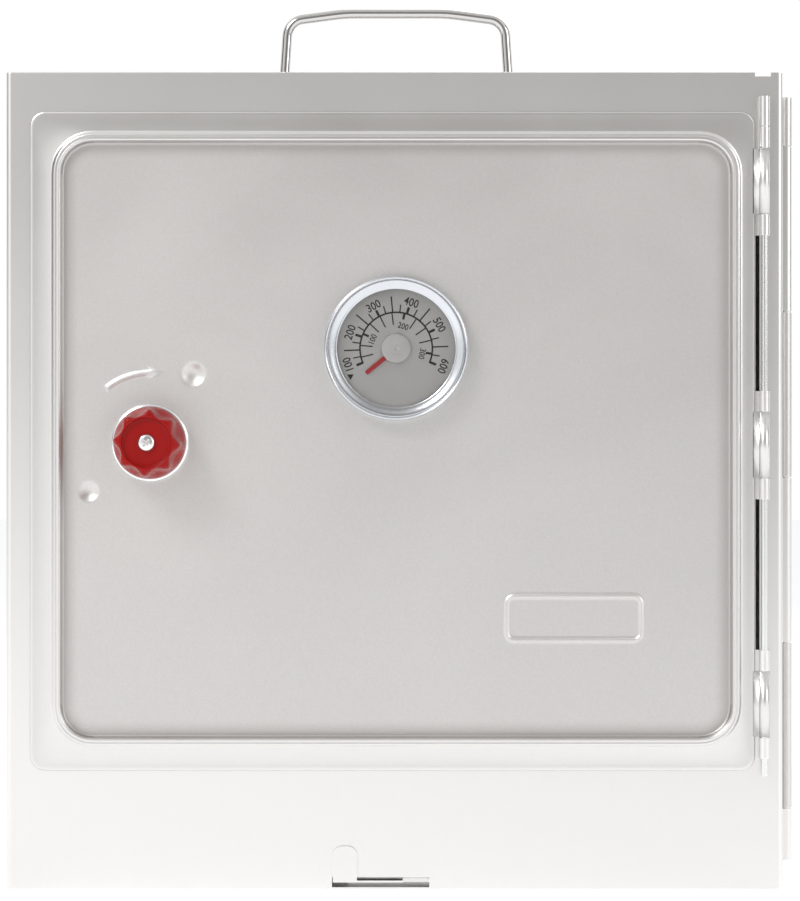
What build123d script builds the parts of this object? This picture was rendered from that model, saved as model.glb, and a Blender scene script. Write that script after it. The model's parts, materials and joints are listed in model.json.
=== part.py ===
"""Folding camp oven: a sheet-steel box that folds flat behind its own front frame.

X runs to the right, Y from the door to the back, Z up. The origin is the middle of the front
frame's foot flange, on the ground. Lengths are millimetres.
"""

import os
from math import asin, degrees

from build123d import *

# ---- stock ----------------------------------------------------------------------------
sheet = 0.7  # wall, roof, floor and frame sheet
door_sheet = 0.6
pin_radius = 1.3  # hinge wire
pin_fit = 0.05  # radial play of a wire in its rolled knuckle
open_pivot_fit = 0.35  # radial play at the one pivot that closes the folding loop
knuckle_radius = 2.2
knuckle_gap = 0.4  # between neighbouring knuckles of one hinge
swing_gap = 0.4  # between a knuckle and the sheet that turns past it
air = 0.3  # between pieces that pass one another
weld_bite = 0.6  # how deep a sheet edge runs into the knuckle it carries

# ---- whole oven -----------------------------------------------------------------------
width = 305.0
height = 320.7
depth = 290.0
bend = 2.0  # outer bend radius of the front frame
foot_depth = 18.5
front = -foot_depth / 2  # outer face of the front frame

# ---- front frame ----------------------------------------------------------------------
lip = 4.4  # the face stands this far above the top flange
hem = 2.0
wall_hinge_depth = 32.0  # front face to the front wall hinges
doorway_gap = 2.0
hinge_stand_off = 4.5  # right wall hinge axis, outside the frame's side
lock_slot = (-24.5, 13.7)
lock_slot_height = 4.0
notch = (141.5, 147.8)
notch_height = 1.8

# ---- door -----------------------------------------------------------------------------
door_x = (-143.0, 141.5)
door_z = (46.5, 305.0)
door_corner = 6.0
bead_x = (-132.5, 134.2)
bead_z = (57.1, 294.8)
bead_corner = 14.0
tray_x = (-128.5, 129.9)
tray_z = (61.4, 291.0)
tray_corner = 11.0
bead_height = 1.4
tray_depth = 1.8
door_axis_x = 145.0
door_roll_radius = 2.1
door_roll_levels = (72.7, 174.2, 277.7)
door_roll_length = 25.6
clip_length = 8.0
door_wire_z = (44.7, 310.9)
hinge_slot = (141.7, 143.3)

# ---- thermometer ----------------------------------------------------------------------
dial_centre = (0.7, 212.1)
bezel_radius = 28.35
dial_radius = 23.2
bezel_proud = 7.5
lens_thickness = 1.2
case_depth = 7.5
hub_radius = 5.7
needle_length = 15.2
needle_angle = 219.6
needle_width = 1.8
needle_sheet = 0.4
coil_turns = 3
coil_pitch = 2.2
coil_strip = 0.5
coil_root = 1.6
spindle_radius = 1.0

# ---- latch ----------------------------------------------------------------------------
knob_centre = (-95.8, 175.1)
knob_ring_radius = 15.3
knob_radius = 14.3
knob_length = 23.0
knob_dish = 9.7
scallops = 8
shaft_radius = 3.0
arm_length = 42.0
arm_width = 10.0
arm_thickness = 1.2
upper_stop = (-79.0, 202.0, 4.5)
lower_stop = (-120.0, 156.0, 3.75)
stop_depth = 1.4
arrow_radius = 27.5
arrow_angles = (131.0, 92.0)
arrow_line = 1.6
arrow_head = 6.0
badge_x = (43.0, 98.0)
badge_z = (96.5, 116.0)
badge_corner = 4.0
badge_line = 1.4
badge_rise = 0.5

# ---- handle ---------------------------------------------------------------------------
handle_wire = 1.9
handle_legs = (-43.4, 44.9)
handle_top = 346.2
handle_foot = 10.5
handle_depth = 7.5
foot_bend = 2.3
bracket_length = 6.0
bracket_sheet = 0.8
bracket_foot = 5.4
rivet_inset = 1.5
rivet_radius = 1.2
rivet_shank = 0.8
rivet_head = 0.7

# ---- walls and back -------------------------------------------------------------------
wall_low = 8.0
wall_high = 313.6
rear_wall_step = 1.5  # the rear walls are this much shorter at each end
back_flange = 17.0
crease_offset = 2.5  # the crease hinge lies this far outside the other two
hem_width = 5.0
hem_start = 8.0
knuckle_pitch = 66.2
first_knuckle = 29.0

# ---- roof and floor -------------------------------------------------------------------
panel_x = (-143.0, 147.8)
roof_axis_depth = 14.0
roof_axis_z = 313.0
floor_axis_depth = 20.0
floor_axis_z = 4.5
panel_knuckle = 41.5
inlet = (150.0, 120.0)
baffle = (196.0, 166.0)
spacer_radius = 4.0
baffle_lift = 3.0
panel_gap = 1.4  # between the roof or floor and the back's flanges

# ---- rack -----------------------------------------------------------------------------
rack_rod = 2.0
rack_wire = 1.2
rack_length = 240.0
rack_z = 66.0
rack_x = (-145.5, 150.8)
rack_corner = 9.0
rack_wires_count = 14
ledge_bearing = 1.5  # how far the ledge reaches past the rod's centre
ledge_upstand = 7.0
rack_setback = 5.0  # from the back's outer face to the middle of the stowed rack
hook_width = 8.0
hook_sheet = 0.9
clip_width = 14.0
clip_sheet = 0.8

# ---- worked out from the sizes above ----------------------------------------------------
half_width = width / 2
roof_y, floor_y = front + roof_axis_depth, front + floor_axis_depth
wall_hinge_y = front + wall_hinge_depth
back_hinge_y = front + depth - back_flange
crease_y = (wall_hinge_y + back_hinge_y) / 2
left_axis = -half_width + knuckle_radius
left_crease = left_axis - crease_offset
right_axis = half_width + hinge_stand_off
right_crease = right_axis + crease_offset
left_skin = (-half_width, -half_width + sheet)
right_skin = (right_axis - knuckle_radius, right_axis - knuckle_radius + sheet)
notch_back = knuckle_radius + swing_gap
rear_low, rear_high = wall_low + rear_wall_step, wall_high - rear_wall_step
flange_top = height - lip
panel_end = front + depth - back_flange - panel_gap
door_back = front - air
door_front = door_back - door_sheet
door_axis_y = door_back - door_roll_radius
tray_face = door_front + tray_depth
tray_back = tray_face + door_sheet
arm_front = tray_back + sheet
bezel_front = tray_face - bezel_proud
rack_y = front + depth - rack_setback


def middle(span):
    return (span[0] + span[1]) / 2


def reach(span):
    return span[1] - span[0]


def block(x, y, z, mode=Mode.ADD):
    """A straight-sided piece of the active part, between the given low and high X, Y and Z."""
    with BuildSketch(Plane.XY.offset(z[0])) as foot:
        with Locations((middle(x), middle(y))):
            Rectangle(reach(x), reach(y))
    extrude(foot.sketch, amount=reach(z), mode=mode)


def upright_tube(x, y, z, outer, bore=0.0):
    """A tube or, with no bore, a rod of the active part that stands along Z."""
    with BuildSketch(Plane.XY.offset(z[0])) as ring:
        with Locations((x, y)):
            Circle(outer)
            if bore:
                Circle(bore, mode=Mode.SUBTRACT)
    extrude(ring.sketch, amount=reach(z))


def upright_bore(x, y, z, radius):
    with BuildSketch(Plane.XY.offset(z[0])) as hole:
        with Locations((x, y)):
            Circle(radius)
    extrude(hole.sketch, amount=reach(z), mode=Mode.SUBTRACT)


def level_tube(x, y, z, outer, bore=0.0):
    """A tube or rod of the active part that lies along X."""
    with BuildSketch(Plane.YZ.offset(x[0])) as ring:
        with Locations((y, z)):
            Circle(outer)
            if bore:
                Circle(bore, mode=Mode.SUBTRACT)
    extrude(ring.sketch, amount=reach(x))


def disc(centre, y, radius, bore=0.0, mode=Mode.ADD):
    """A disc or ring of the active part that faces the door side, from Y low to Y high."""
    with BuildSketch(Plane.XZ.offset(-y[1])) as ring:
        with Locations(centre):
            Circle(radius)
            if bore:
                Circle(bore, mode=Mode.SUBTRACT)
    extrude(ring.sketch, amount=reach(y), mode=mode)


def face_plane(centre, y):
    """A plane that faces the door side, with its own origin on a centre in the oven's face."""
    return Plane(origin=(centre[0], y, centre[1]), x_dir=(1, 0, 0), z_dir=(0, -1, 0))


def pillow(x, z, corner, y, mode=Mode.ADD):
    """A plate with rounded corners that faces the door side."""
    with BuildSketch(Plane.XZ.offset(-y[1])) as plate:
        with Locations((middle(x), middle(z))):
            RectangleRounded(reach(x), reach(z), corner)
    extrude(plate.sketch, amount=reach(y), mode=mode)


def knuckle_spans(low, high):
    """The stretches of an upright wall hinge, from the ground up."""
    borders = [low]
    border = first_knuckle
    while border < high - knuckle_radius:
        borders.append(border)
        border += knuckle_pitch
    borders.append(high)
    return list(zip(borders, borders[1:]))


def every_other(spans, start):
    """The knuckles that one leaf carries, a little shorter than their stretches."""
    return [(a + knuckle_gap / 2, b - knuckle_gap / 2) for a, b in spans[start::2]]


def panel_spans():
    """The stretches of the roof and floor hinges, from left to right."""
    count = int(reach(panel_x) // panel_knuckle)
    pitch = reach(panel_x) / count
    return [(panel_x[0] + n * pitch, panel_x[0] + (n + 1) * pitch) for n in range(count)]


def spread(span, inset):
    """A stretch made shorter by the same inset at both ends."""
    return span[0] + inset, span[1] - inset


# ---- places on the frame --------------------------------------------------------------
handle_y = front + handle_depth
bracket_starts = (
    handle_legs[0] - handle_foot + 1,
    handle_legs[1] + handle_foot - 1 - bracket_length,
)
rivet_places = [
    (x + bracket_length / 2, handle_y + side * (bracket_foot - rivet_inset))
    for x in bracket_starts
    for side in (-1, 1)
]

# ---- front frame ----------------------------------------------------------------------
corner_spans = knuckle_spans(wall_low, wall_high)
door_rolls = [(z - door_roll_length / 2, z + door_roll_length / 2) for z in door_roll_levels]
door_clips = [(a - knuckle_gap - clip_length, a - knuckle_gap) for a, b in door_rolls]
door_clips += [(b + knuckle_gap, b + knuckle_gap + clip_length) for a, b in door_rolls]
doorway_x = spread(tray_x, -door_sheet - doorway_gap)
doorway_z = spread(tray_z, -door_sheet - doorway_gap)

with BuildPart() as front_frame:
    # face and side flanges: one channel with rounded bends
    with BuildSketch(Plane.XY):
        with Locations((0, front + wall_hinge_depth)):
            RectangleRounded(width, 2 * wall_hinge_depth, bend)
            RectangleRounded(
                width - 2 * sheet, 2 * (wall_hinge_depth - sheet), bend - sheet, mode=Mode.SUBTRACT
            )
        with Locations((0, front + wall_hinge_depth - notch_back + wall_hinge_depth)):
            Rectangle(width, 2 * wall_hinge_depth, mode=Mode.SUBTRACT)
    extrude(amount=height)
    # folded hem along the top of the face
    block((-half_width + bend, half_width - bend), (front + sheet, front + hem), (height - hem, height))
    fillet(front_frame.edges().filter_by(Axis.X).group_by(Axis.Z)[-1].group_by(Axis.Y)[0], sheet * 0.8)
    # side flanges stop short of the hem
    behind_lip = (front + bend, front + wall_hinge_depth)
    block((-half_width, half_width), behind_lip, (flange_top, height), mode=Mode.SUBTRACT)
    inner_x = (-half_width + sheet, half_width - sheet)
    block(inner_x, (front + sheet, front + foot_depth), (flange_top - sheet, flange_top))
    block(inner_x, (front + sheet, front + foot_depth), (0, sheet))
    doorway_corner = tray_corner + door_sheet + doorway_gap
    pillow(doorway_x, doorway_z, doorway_corner, (front - 1, front + hem), Mode.SUBTRACT)
    block(lock_slot, (front - 1, front + sheet), (sheet, sheet + lock_slot_height), mode=Mode.SUBTRACT)
    block(notch, (front - 1, front + hem + 1), (height - notch_height, height + 1), mode=Mode.SUBTRACT)
    # slots behind the bare stretches of the door wire
    for lower, upper in zip(door_rolls, door_rolls[1:]):
        gap = (lower[1] + knuckle_gap + clip_length, upper[0] - knuckle_gap - clip_length)
        block(hinge_slot, (front - 1, front + sheet), gap, mode=Mode.SUBTRACT)
    # clips that hold the door wire, and the rolled tube above them
    door_clips.append((door_clips[-1][1] + knuckle_gap, door_wire_z[1]))
    for clip in door_clips:
        upright_tube(door_axis_x, door_axis_y, clip, door_roll_radius, pin_radius + pin_fit)
        neck = (door_axis_x - pin_radius, door_axis_x + door_roll_radius)
        block(neck, (door_back - weld_bite, front), clip)
        upright_bore(door_axis_x, door_axis_y, clip, pin_radius + pin_fit)
    # knuckles for the front walls, flush on the left and standing off on the right
    for span in every_other(corner_spans, 0):
        block(left_skin, (wall_hinge_y - notch_back, wall_hinge_y), span)
        upright_tube(left_axis, wall_hinge_y, span, knuckle_radius, pin_radius + pin_fit)
        neck_y = (wall_hinge_y - knuckle_radius, wall_hinge_y - knuckle_radius + sheet)
        block((half_width - sheet, right_axis), neck_y, span)
        block((half_width - sheet, half_width), (wall_hinge_y - notch_back - sheet, neck_y[1]), span)
        upright_tube(right_axis, wall_hinge_y, span, knuckle_radius, pin_radius + pin_fit)
    # knuckles for the roof, under the top flange, and for the floor, on the foot flange
    for span in every_other(panel_spans(), 0):
        block(span, (roof_y - 1, roof_y + 1), (roof_axis_z + pin_radius + 2 * pin_fit, flange_top - sheet))
        level_tube(span, roof_y, roof_axis_z, knuckle_radius, pin_radius + pin_fit)
        block(span, (floor_y - knuckle_radius, floor_y - knuckle_radius + sheet), (0, floor_axis_z))
        level_tube(span, floor_y, floor_axis_z, knuckle_radius, pin_radius + pin_fit)
    for x, y in rivet_places:
        upright_bore(x, y, (flange_top - sheet, flange_top), rivet_shank)
front_frame.part.label = "front_frame"

with BuildPart() as door_hinge_wire:
    upright_tube(door_axis_x, door_axis_y, door_wire_z, pin_radius)
door_hinge_wire.part.label = "door_hinge_wire"

with BuildPart() as left_corner_wire:
    upright_tube(left_axis, wall_hinge_y, (wall_low, wall_high), pin_radius)
left_corner_wire.part.label = "left_corner_wire"

with BuildPart() as right_corner_wire:
    upright_tube(right_axis, wall_hinge_y, (wall_low, wall_high), pin_radius)
right_corner_wire.part.label = "right_corner_wire"

# ---- carrying handle ------------------------------------------------------------------
handle_axis_z = flange_top + handle_wire + pin_fit
crown = handle_top - handle_wire
shoulder = crown - 3.0
shoulder_bend = 7.0
crown_bend = 60.0

with BuildPart() as handle:
    with BuildLine(Plane.XZ.offset(-handle_y)) as handle_path:
        FilletPolyline(
            (handle_legs[0] - handle_foot, handle_axis_z),
            (handle_legs[0], handle_axis_z),
            (handle_legs[0] + 1.5, shoulder),
            (middle(handle_legs) - 20, crown),
            (middle(handle_legs) + 20, crown),
            (handle_legs[1] - 1.5, shoulder),
            (handle_legs[1], handle_axis_z),
            (handle_legs[1] + handle_foot, handle_axis_z),
            radius=[foot_bend, shoulder_bend, crown_bend, crown_bend, shoulder_bend, foot_bend],
        )
    with BuildSketch(Plane.YZ.offset(handle_legs[0] - handle_foot)):
        with Locations((handle_y, handle_axis_z)):
            Circle(handle_wire)
    sweep(path=handle_path.wires()[0])
handle.part.label = "handle"

with BuildPart() as handle_brackets:
    for x in bracket_starts:
        with BuildSketch(Plane.YZ.offset(x)) as saddle:
            with Locations((handle_y, handle_axis_z)):
                Circle(handle_wire + pin_fit + bracket_sheet)
            with Locations((handle_y, flange_top + bracket_sheet / 2)):
                Rectangle(2 * bracket_foot, bracket_sheet)
            with Locations((handle_y, handle_axis_z - (handle_wire + pin_fit) / 2)):
                Rectangle(2 * (handle_wire + pin_fit), handle_wire + pin_fit, mode=Mode.SUBTRACT)
            with Locations((handle_y, handle_axis_z)):
                Circle(handle_wire + pin_fit, mode=Mode.SUBTRACT)
            with Locations((handle_y, flange_top - handle_wire)):
                Rectangle(4 * bracket_foot, 2 * handle_wire, mode=Mode.SUBTRACT)
        extrude(saddle.sketch, amount=bracket_length)
    for x, y in rivet_places:
        upright_bore(x, y, (flange_top, flange_top + bracket_sheet), rivet_shank)
handle_brackets.part.label = "handle_brackets"

rivet_foot = flange_top - sheet
with BuildPart() as handle_rivets:
    for x, y in rivet_places:
        upright_tube(x, y, (rivet_foot - rivet_head, rivet_foot), rivet_radius)
        upright_tube(x, y, (rivet_foot, flange_top + bracket_sheet), rivet_shank)
        head_base = flange_top + bracket_sheet
        upright_tube(x, y, (head_base, head_base + rivet_head), rivet_radius)
handle_rivets.part.label = "handle_rivets"

# ---- floor lock -----------------------------------------------------------------------
tab_x = (-24.1, -14.7)
tab_top = 16.9
tongue_end = 3.3
tongue_z = (2.7, 3.4)
tongue_back = 13.0
lock_travel = 10.0

with BuildPart() as floor_lock:
    block((tab_x[0], tongue_end), (front - air - sheet, front + tongue_back), tongue_z)
    block(tab_x, (front - air - sheet, front - air), (tongue_z[0], tab_top))
    fillet(floor_lock.edges().filter_by(Axis.Y).group_by(Axis.Z)[-1], 3.5)
floor_lock.part.label = "floor_lock"

with BuildPart() as lock_guides:
    for x in (tab_x[0] - 6, tongue_end + lock_travel + 1):
        guide_y = (front + 4.0, front + 10.0)
        block((x, x + 5), guide_y, (sheet, tongue_z[1] + air + sheet))
    bridge = (tab_x[0] - 6, tongue_end + lock_travel + 6)
    block(bridge, guide_y, (tongue_z[1] + air, tongue_z[1] + air + sheet))
lock_guides.part.label = "lock_guides"

# ---- door -----------------------------------------------------------------------------


def stop_cup(stop):
    """A pressed dimple that stands into the oven and stops the latch arm."""
    disc(stop[:2], (tray_face + 0.1, tray_back + stop_depth), stop[2])
    disc(stop[:2], (tray_face - 1, tray_face + stop_depth), stop[2] - door_sheet, mode=Mode.SUBTRACT)


with BuildPart() as door_panel:
    pillow(door_x, door_z, door_corner, (door_front, door_back))
    pillow(bead_x, bead_z, bead_corner, (door_front - bead_height, door_back))
    bead_edge = door_panel.edges().filter_by(GeomType.LINE).group_by(Axis.Y)[0]
    fillet(bead_edge, bead_height * 0.6)
    wall_x, wall_z = spread(tray_x, -door_sheet), spread(tray_z, -door_sheet)
    groove = (door_front - bead_height + door_sheet, door_back + 1)
    groove_x, groove_z = spread(bead_x, door_sheet), spread(bead_z, door_sheet)
    pillow(groove_x, groove_z, bead_corner - door_sheet, groove, Mode.SUBTRACT)
    pillow(wall_x, wall_z, tray_corner + door_sheet, (door_front - bead_height, tray_back))
    pillow(tray_x, tray_z, tray_corner, (door_front - bead_height - 1, tray_face), Mode.SUBTRACT)
    # rolled knuckles on the wire
    for roll in door_rolls:
        block((door_x[1] - 1, door_axis_x), (door_front, door_back), roll)
        upright_tube(door_axis_x, door_axis_y, roll, door_roll_radius, pin_radius + pin_fit)
    for stop in (upper_stop, lower_stop):
        stop_cup(stop)
    disc(knob_centre, (front - 20, front + 20), shaft_radius + air, mode=Mode.SUBTRACT)
    disc(dial_centre, (front - 20, front + 20), dial_radius + 1, mode=Mode.SUBTRACT)
    # plain raised frame where a badge would sit
    with BuildSketch(Plane.XZ.offset(-tray_face)) as badge:
        with Locations((middle(badge_x), middle(badge_z))):
            RectangleRounded(reach(badge_x), reach(badge_z), badge_corner)
            RectangleRounded(
                reach(badge_x) - 2 * badge_line,
                reach(badge_z) - 2 * badge_line,
                badge_corner - badge_line,
                mode=Mode.SUBTRACT,
            )
    extrude(badge.sketch, amount=badge_rise)
    # curved arrow that shows which way the knob opens
    with BuildSketch(face_plane(knob_centre, tray_face)) as arrow:
        with BuildLine() as shaft_line:
            CenterArc((0, 0), arrow_radius, arrow_angles[1], arrow_angles[0] - arrow_angles[1])
        trace(shaft_line.line, arrow_line)
        with PolarLocations(arrow_radius, 1, start_angle=arrow_angles[1]):
            Triangle(a=arrow_head, b=arrow_head, c=arrow_head, rotation=180, align=Align.CENTER)
    extrude(arrow.sketch, amount=badge_rise)
door_panel.part.label = "door_panel"

# ---- thermometer ----------------------------------------------------------------------
lens_front = bezel_front + 2.0
dial_face = tray_face - 1.3
pointer_face = dial_face - 1.5
case_wall = 0.6
case_radius = dial_radius + 0.6

with BuildPart() as thermometer_bezel:
    disc(dial_centre, (bezel_front, tray_face), bezel_radius)
    fillet(thermometer_bezel.edges().group_by(Axis.Y)[0], 1.6)
    disc(dial_centre, (bezel_front - 1, lens_front), dial_radius, mode=Mode.SUBTRACT)
    front_circles = thermometer_bezel.edges().filter_by(GeomType.CIRCLE).group_by(Axis.Y)[0]
    chamfer(front_circles.sort_by(SortBy.RADIUS)[0], 1.0)
    disc(dial_centre, (lens_front, tray_face + 1), dial_radius + 1.1, mode=Mode.SUBTRACT)
thermometer_bezel.part.label = "thermometer_bezel"

with BuildPart() as thermometer_lens:
    disc(dial_centre, (lens_front, lens_front + lens_thickness), dial_radius + 1)
thermometer_lens.part.label = "thermometer_lens"

with BuildPart() as thermometer_dial:
    disc(dial_centre, (dial_face, dial_face + 0.5), dial_radius + 1, bore=1.5)
thermometer_dial.part.label = "thermometer_dial"

with BuildPart() as thermometer_case:
    disc(dial_centre, (dial_face + 0.5, tray_back + case_depth), case_radius)
    case_hollow = (dial_face, tray_back + case_depth - case_wall)
    disc(dial_centre, case_hollow, case_radius - case_wall, mode=Mode.SUBTRACT)
thermometer_case.part.label = "thermometer_case"

with BuildPart() as thermometer_clip:
    disc(dial_centre, (tray_back, tray_back + 0.8), case_radius + 4, bore=case_radius + pin_fit)
thermometer_clip.part.label = "thermometer_clip"

coil_y = (tray_back + 2.0, tray_back + 5.5)
with BuildPart() as bimetal_coil:
    with BuildSketch(face_plane(dial_centre, coil_y[1])) as spiral:
        with BuildLine() as turns:
            radius, centre = coil_root, 0.0
            for half in range(2 * coil_turns):
                side = 1 if half % 2 == 0 else -1
                CenterArc((centre, 0), radius, 0 if side > 0 else 180, 180)
                centre -= side * -coil_pitch / 2
                radius += coil_pitch / 2
        trace(turns.line, coil_strip)
    extrude(spiral.sketch, amount=reach(coil_y))
    disc(dial_centre, (coil_y[1], tray_back + case_depth - case_wall), coil_root + coil_strip)
    disc(dial_centre, coil_y, coil_root + coil_strip / 2, bore=spindle_radius + 2 * pin_fit)
bimetal_coil.part.label = "bimetal_coil"

with BuildPart() as pointer_hub:
    disc(dial_centre, (pointer_face - 0.8, pointer_face), hub_radius)
    disc(dial_centre, (pointer_face, coil_y[1] - air), spindle_radius)
pointer_hub.part.label = "pointer_hub"

with BuildPart() as pointer:
    with BuildSketch(face_plane(dial_centre, pointer_face + needle_sheet)) as needle:
        Circle(3.2 * spindle_radius)
        with BuildLine() as blade:
            PolarLine((0, 0), needle_length, needle_angle)
        trace(blade.line, needle_width)
        Circle(spindle_radius, mode=Mode.SUBTRACT)
    extrude(needle.sketch, amount=needle_sheet)
pointer.part.label = "pointer"

# ---- latch ----------------------------------------------------------------------------
ring_front = tray_face - 2.5
knob_back = ring_front - 0.6
knob_front = knob_back - knob_length
dish_depth = 2.0
arm_back = arm_front + arm_thickness
stop_clear = 0.8


def stop_angle(stop):
    """The arm's direction when its edge meets a stop, measured from the stop's own direction."""
    run = Vector(stop[0] - knob_centre[0], stop[1] - knob_centre[1])
    return degrees(asin((arm_width / 2 + stop[2] + stop_clear) / run.length))


def direction(stop):
    run = Vector(stop[0] - knob_centre[0], stop[1] - knob_centre[1])
    return (Vector(1, 0).get_signed_angle(run, Vector(0, 0, 1))) % 360


open_direction = direction(upper_stop) + stop_angle(upper_stop)
shut_direction = direction(lower_stop) - stop_angle(lower_stop)
print("latch arm open at", open_direction, "shut at", shut_direction)

with BuildPart() as knob_ring:
    disc(knob_centre, (ring_front, tray_face), knob_ring_radius)
    chamfer(knob_ring.edges().group_by(Axis.Y)[0], 1.6)
    disc(knob_centre, (ring_front - 1, tray_face + 1), shaft_radius + pin_fit, mode=Mode.SUBTRACT)
knob_ring.part.label = "knob_ring"

with BuildPart() as knob:
    with BuildSketch(Plane.XZ.offset(-knob_back)) as grip:
        with Locations(knob_centre):
            Circle(knob_radius)
            with PolarLocations(knob_radius + 3.2, scallops):
                Circle(4.6, mode=Mode.SUBTRACT)
        fillet(grip.vertices(), 1.2)
    extrude(grip.sketch, amount=knob_length)
    fillet(knob.edges().group_by(Axis.Y)[0], 1.4)
    disc(knob_centre, (knob_front - 1, knob_front + dish_depth), knob_dish, mode=Mode.SUBTRACT)
    disc(knob_centre, (knob_front + dish_depth + 3, knob_back + 1), shaft_radius, mode=Mode.SUBTRACT)
    disc(knob_centre, (knob_front, knob_front + dish_depth + 4), 1.6, mode=Mode.SUBTRACT)
knob.part.label = "knob"

with BuildPart() as latch_shaft:
    disc(knob_centre, (knob_front + dish_depth + 3, arm_back + 4.5), shaft_radius)
    disc(knob_centre, (knob_front, knob_front + dish_depth + 11), 1.6, mode=Mode.SUBTRACT)
latch_shaft.part.label = "latch_shaft"

with BuildPart() as knob_screw:
    disc(knob_centre, (knob_front + dish_depth - 1.8, knob_front + dish_depth), 3.4)
    fillet(knob_screw.edges().group_by(Axis.Y)[0], 1.0)
    for turn in (0, 90):
        with BuildSketch(Plane.XZ.offset(-(knob_front + dish_depth - 0.9))) as slot:
            with Locations(Location(knob_centre, turn)):
                Rectangle(3.6, 0.8)
        extrude(slot.sketch, amount=3, mode=Mode.SUBTRACT)
    disc(knob_centre, (knob_front + dish_depth, knob_front + dish_depth + 10), 1.6)
knob_screw.part.label = "knob_screw"

with BuildPart() as latch_spring:
    disc(knob_centre, (tray_back, arm_front), shaft_radius + 3, bore=shaft_radius + 0.4)
latch_spring.part.label = "latch_spring"

with BuildPart() as latch_arm:
    with BuildSketch(Plane.XZ.offset(-arm_back)) as arm:
        with Locations(Location(knob_centre, open_direction)):
            with Locations((arm_length / 2 - arm_width / 4, 0)):
                SlotOverall(arm_length + arm_width / 2, arm_width)
    extrude(arm.sketch, amount=arm_thickness)
    disc(knob_centre, (arm_front - 1, arm_back + 1), shaft_radius, mode=Mode.SUBTRACT)
latch_arm.part.label = "latch_arm"

with BuildPart() as latch_nut:
    with BuildSketch(Plane.XZ.offset(-(arm_back + 3))) as nut:
        with Locations(knob_centre):
            RegularPolygon(5.5, 6)
            Circle(shaft_radius, mode=Mode.SUBTRACT)
    extrude(nut.sketch, amount=3)
latch_nut.part.label = "latch_nut"

# ---- folding side walls ---------------------------------------------------------------
crease_spans = knuckle_spans(rear_low, rear_high)
rack_edge = (rack_x[0] + ledge_bearing, rack_x[1] - ledge_bearing)
ledge_top = rack_z - rack_rod - air


def inward(skin, out, run):
    """X limits from a wall's inner face to a point that far inside it."""
    inner = skin[1] if out < 0 else skin[0]
    return (inner, inner + run) if out < 0 else (inner - run, inner)


def wall_leaf(out, skin, hinge, crease, near, far, spans, own, crease_own, high, low):
    """One half of a folding wall: a sheet between its corner hinge and the crease."""
    toward = 1 if far > near else -1
    clear = notch_back if out < 0 else notch_back + hinge_stand_off - sheet
    edges = sorted((near + toward * clear, far - toward * notch_back))
    block(skin, edges, (low, high))
    for span in own:
        block(skin, sorted((near, near + toward * (clear + 1))), span)
        upright_tube(hinge, near, span, knuckle_radius, pin_radius + pin_fit)
    for span in crease_own:
        if out < 0:
            strip = (far - toward * (knuckle_radius - weld_bite), far - toward * (notch_back + 1))
            block(skin, sorted(strip), span)
        else:
            neck = sorted((far - toward * knuckle_radius, far - toward * (knuckle_radius - sheet)))
            block(skin, sorted((neck[0], neck[1], far - toward * (notch_back + 1)))[::2], span)
            block((skin[0], crease), neck, span)
        upright_tube(crease, far, span, knuckle_radius, pin_radius + pin_fit)
        upright_bore(crease, far, span, pin_radius + pin_fit)


walls = {}
sides = {
    "left": (-1, left_skin, left_axis, left_crease),
    "right": (1, right_skin, right_axis, right_crease),
}
for side, (out, skin, hinge, crease) in sides.items():
    with BuildPart() as front_wall:
        wall_leaf(
            out, skin, hinge, crease, wall_hinge_y, crease_y, corner_spans,
            every_other(corner_spans, 1), every_other(crease_spans, 0), wall_high, wall_low,
        )
        hem_y = (wall_hinge_y + hem_start, crease_y - notch_back)
        block(inward(skin, out, hem_width), hem_y, (wall_high - sheet, wall_high))
        block(inward(skin, out, hem_width), hem_y, (wall_low, wall_low + sheet))
    walls[f"{side}_front_wall"] = front_wall.part

    with BuildPart() as rear_wall:
        wall_leaf(
            out, skin, hinge, crease, back_hinge_y, crease_y, crease_spans,
            every_other(crease_spans, 0), every_other(crease_spans, 1), rear_high, rear_low,
        )
        if out > 0:
            for span in every_other(crease_spans, 0):
                upright_bore(hinge, back_hinge_y, span, pin_radius + open_pivot_fit)
    walls[f"{side}_rear_wall"] = rear_wall.part

    with BuildPart() as crease_wire:
        upright_tube(crease, crease_y, (rear_low, rear_high), pin_radius)
    walls[f"{side}_crease_wire"] = crease_wire.part

    with BuildPart() as back_wire:
        upright_tube(hinge, back_hinge_y, (rear_low, rear_high), pin_radius)
    walls[f"{side}_back_wire"] = back_wire.part

    # ledges that carry the rack
    inner = skin[1] if out < 0 else skin[0]
    shelf = sorted((inner, rack_edge[0] if out < 0 else rack_edge[1]))
    upstand = inward(skin, out, sheet)
    ledges = {
        "front": (wall_hinge_y + hem_start, crease_y - hem_start),
        "rear": (crease_y + hem_start, back_hinge_y - hem_start),
    }
    for place, span_y in ledges.items():
        with BuildPart() as ledge:
            block(shelf, span_y, (ledge_top - sheet, ledge_top))
            block(upstand, span_y, (ledge_top - sheet, ledge_top + ledge_upstand))
        walls[f"{side}_{place}_ledge"] = ledge.part

# ---- back -----------------------------------------------------------------------------
back_y = (front + depth - sheet, front + depth)
with BuildPart() as back_panel:
    block((left_skin[0], right_skin[1]), back_y, (wall_low, wall_high))
    tray_y = (panel_end + 1, back_y[1])
    inner_x = (left_skin[0], right_skin[1])
    block(inner_x, tray_y, (wall_high - sheet, wall_high))
    block(inner_x, tray_y, (wall_low, wall_low + sheet))
    for skin, hinge in ((left_skin, left_axis), (right_skin, right_axis)):
        block(skin, (back_hinge_y + notch_back, back_y[1]), (wall_low, wall_high))
        for span in every_other(crease_spans, 1):
            block(skin, (back_hinge_y, back_hinge_y + notch_back + 1), span)
            upright_tube(hinge, back_hinge_y, span, knuckle_radius, pin_radius + pin_fit)
back_panel.part.label = "back_panel"

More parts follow.
